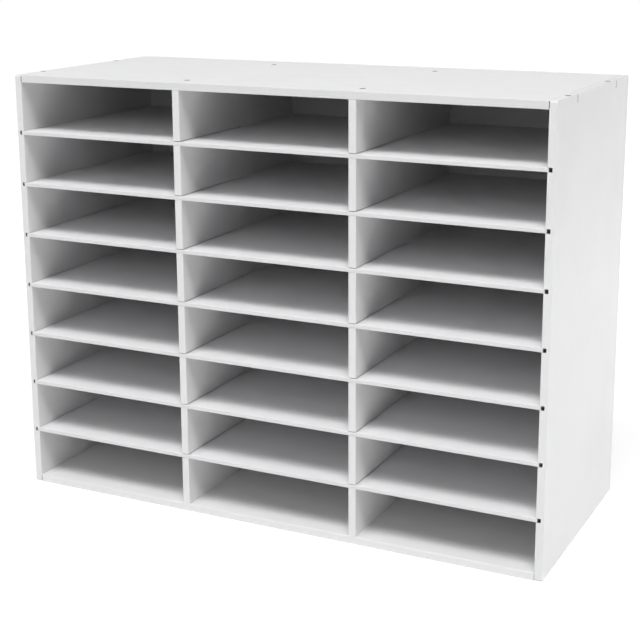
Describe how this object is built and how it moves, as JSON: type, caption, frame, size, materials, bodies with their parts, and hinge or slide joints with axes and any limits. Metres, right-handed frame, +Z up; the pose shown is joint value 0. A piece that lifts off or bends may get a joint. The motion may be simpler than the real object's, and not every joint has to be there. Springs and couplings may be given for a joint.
{
  "type": "literature sorter",
  "caption": "White board literature sorter, open at the front, with rows and columns of flat compartments formed by thin shelves halved into upright dividers and slid in from the front.",
  "frame": {"origin": "centre of the case's footprint, on the surface that it stands on", "axes": "+X to the right seen from the open front, +Y from the open front to the back panel, +Z up"},
  "size_m": [0.7404, 0.315, 0.5718],
  "materials": {
    "white_board": "white satin laminate on fibreboard",
    "white_shelf_board": "white satin laminate on thin fibreboard",
    "white_back_board": "white painted hardboard",
    "screw_steel": "zinc plated",
    "nail_steel": "bright steel"
  },
  "bodies": {
    "case": {"left_side": "white_board", "right_side": "white_board", "top_panel": "white_board", "bottom_panel": "white_board", "divider_1": "white_board", "divider_2": "white_board", "back_panel": "white_back_board", "top_side_screws": "screw_steel", "top_divider_screws": "screw_steel", "bottom_side_screws": "screw_steel", "bottom_divider_screws": "screw_steel", "back_upright_nails": "nail_steel", "back_cross_nails": "nail_steel"},
    "shelf_1": {"shelf_1": "white_shelf_board"},
    "shelf_2": {"shelf_2": "white_shelf_board"},
    "shelf_3": {"shelf_3": "white_shelf_board"},
    "shelf_4": {"shelf_4": "white_shelf_board"},
    "shelf_5": {"shelf_5": "white_shelf_board"},
    "shelf_6": {"shelf_6": "white_shelf_board"},
    "shelf_7": {"shelf_7": "white_shelf_board"}
  },
  "joints": [
    {"name": "shelf_1_slide", "type": "slide", "parent": "case", "child": "shelf_1", "axis": [0, -1, 0], "range_m": [0, 0.316]},
    {"name": "shelf_2_slide", "type": "slide", "parent": "case", "child": "shelf_2", "axis": [0, -1, 0], "range_m": [0, 0.316]},
    {"name": "shelf_3_slide", "type": "slide", "parent": "case", "child": "shelf_3", "axis": [0, -1, 0], "range_m": [0, 0.316]},
    {"name": "shelf_4_slide", "type": "slide", "parent": "case", "child": "shelf_4", "axis": [0, -1, 0], "range_m": [0, 0.316]},
    {"name": "shelf_5_slide", "type": "slide", "parent": "case", "child": "shelf_5", "axis": [0, -1, 0], "range_m": [0, 0.316]},
    {"name": "shelf_6_slide", "type": "slide", "parent": "case", "child": "shelf_6", "axis": [0, -1, 0], "range_m": [0, 0.316]},
    {"name": "shelf_7_slide", "type": "slide", "parent": "case", "child": "shelf_7", "axis": [0, -1, 0], "range_m": [0, 0.316]}
  ]
}
